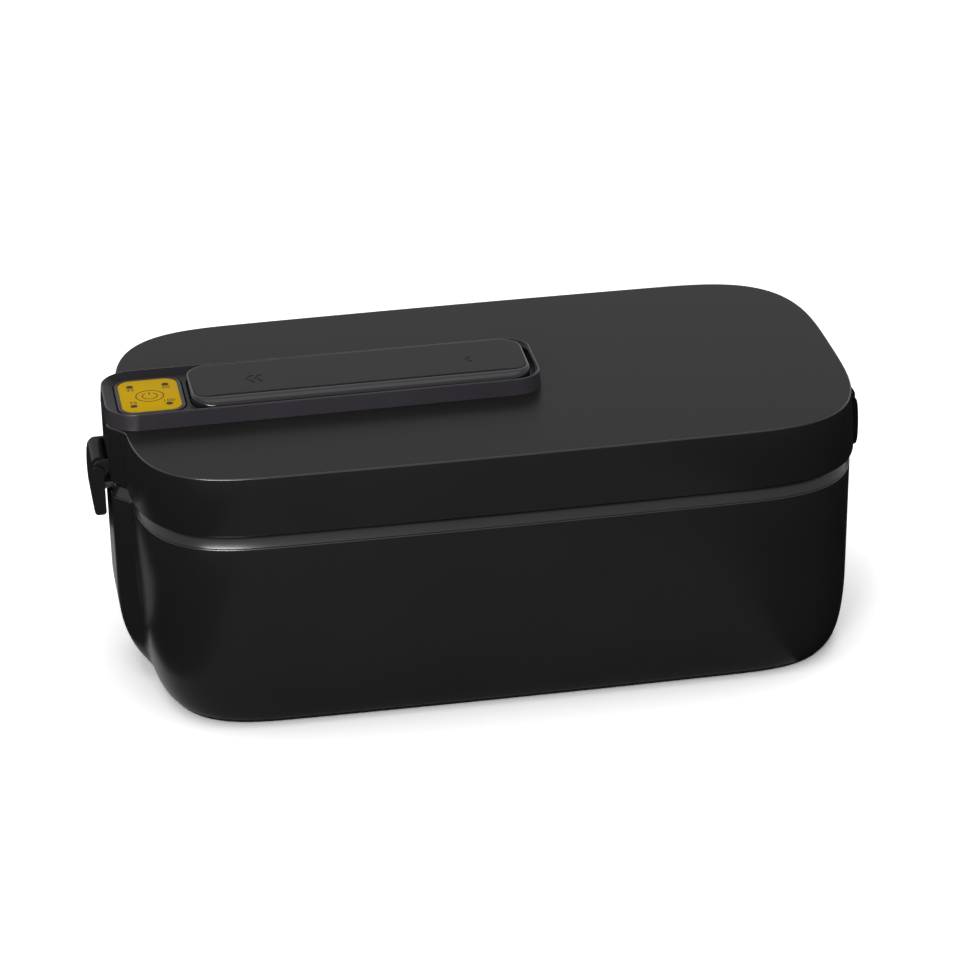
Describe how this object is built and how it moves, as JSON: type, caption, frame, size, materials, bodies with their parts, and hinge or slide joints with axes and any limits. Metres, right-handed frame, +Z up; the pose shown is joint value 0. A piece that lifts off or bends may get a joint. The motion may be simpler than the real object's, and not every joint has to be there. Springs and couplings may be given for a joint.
{
  "type": "electric lunch box",
  "caption": "Cordless electric lunch box: a rounded heated base with a steel food container, a lift-off lid held by end latches, and a removable battery pack with a power button on the lid.",
  "frame": {"origin": "on the table under the middle of the body, in the plane that the foot pads rest on", "axes": "+X along the length, away from the duct end with the power button; +Z up; +Y to the back"},
  "size_m": [0.269, 0.1376, 0.1016],
  "materials": {
    "shell_black": "matte, fine grain",
    "band_black": "satin",
    "cradle_gloss": "polished",
    "pack_black": "matte, fine grain",
    "latch_black": "satin gloss",
    "cap_grey": "satin",
    "label_yellow": "satin print",
    "window_smoke": "smoked, clear",
    "liner_grey": "satin",
    "steel_container": "brushed",
    "plate_aluminium": "rolled",
    "film_amber": "film",
    "feet_rubber": "matte",
    "seal_silicone": "matte",
    "fastener_steel": "zinc plated",
    "contact_gold": "gold plated",
    "board_green": "solder mask",
    "part_black": "moulded",
    "wire_red": "insulation",
    "cell_foil": "laminate foil",
    "socket_steel": "plated",
    "fuse_white": "ceramic body",
    "led_white": "clear epoxy",
    "plunger_white": "moulded"
  },
  "bodies": {
    "base": {"base_shell": "shell_black", "foot_pads": "feet_rubber", "base_screws": "fastener_steel", "rim_collar": "band_black", "inner_tub": "liner_grey", "heating_plate": "plate_aluminium", "heating_film": "film_amber", "thermostat": "part_black", "thermal_fuse": "fuse_white", "sensor_bracket": "fastener_steel", "contact_block": "part_black", "contact_pads": "contact_gold", "base_harness": "wire_red"},
    "container": {"food_container": "steel_container"},
    "lid": {"lid_cover": "shell_black", "lid_inner_panel": "liner_grey", "lid_seal": "seal_silicone", "lid_screws": "fastener_steel", "latch_pins": "fastener_steel", "battery_cradle": "cradle_gloss", "control_board": "board_green", "board_screws": "fastener_steel", "tact_switch": "part_black", "indicator_leds": "led_white", "spring_pin_block": "part_black", "spring_pins": "contact_gold", "lid_harness": "wire_red", "battery_contacts": "contact_gold"},
    "button": {"button_cap": "cap_grey", "button_label": "label_yellow", "indicator_windows": "window_smoke", "switch_plunger": "plunger_white"},
    "battery": {"pack_lower_case": "pack_black", "pack_top_cover": "pack_black", "pack_cells": "cell_foil", "pack_board": "board_green", "pack_contacts": "contact_gold", "charge_socket": "socket_steel"},
    "latch_left": {"latch_left": "latch_black"},
    "latch_right": {"latch_right": "latch_black"}
  },
  "joints": [
    {"name": "lid_lift", "type": "slide", "parent": "base", "child": "lid", "axis": [0, 0, 1], "range_m": [0, 0.16]},
    {"name": "container_lift", "type": "slide", "parent": "base", "child": "container", "axis": [0, 0, 1], "range_m": [0, 0.08]},
    {"name": "latch_left_swing", "type": "hinge", "parent": "lid", "child": "latch_left", "pos_m": [-0.1337, 0, 0.0787], "axis": [0, 1, 0], "range_deg": [0, 95]},
    {"name": "latch_right_swing", "type": "hinge", "parent": "lid", "child": "latch_right", "pos_m": [0.1289, 0, 0.0787], "axis": [0, -1, 0], "range_deg": [0, 95]},
    {"name": "battery_lift", "type": "slide", "parent": "lid", "child": "battery", "axis": [0, 0, 1], "range_m": [0, 0.04]},
    {"name": "button_press", "type": "slide", "parent": "lid", "child": "button", "axis": [0, 0, -1], "range_m": [0, 0.0008], "stiffness_N_per_m": 2500}
  ],
  "couplings": [
    {"joint": "container_lift", "follows": "lid_lift", "ratio": 0.45}
  ]
}
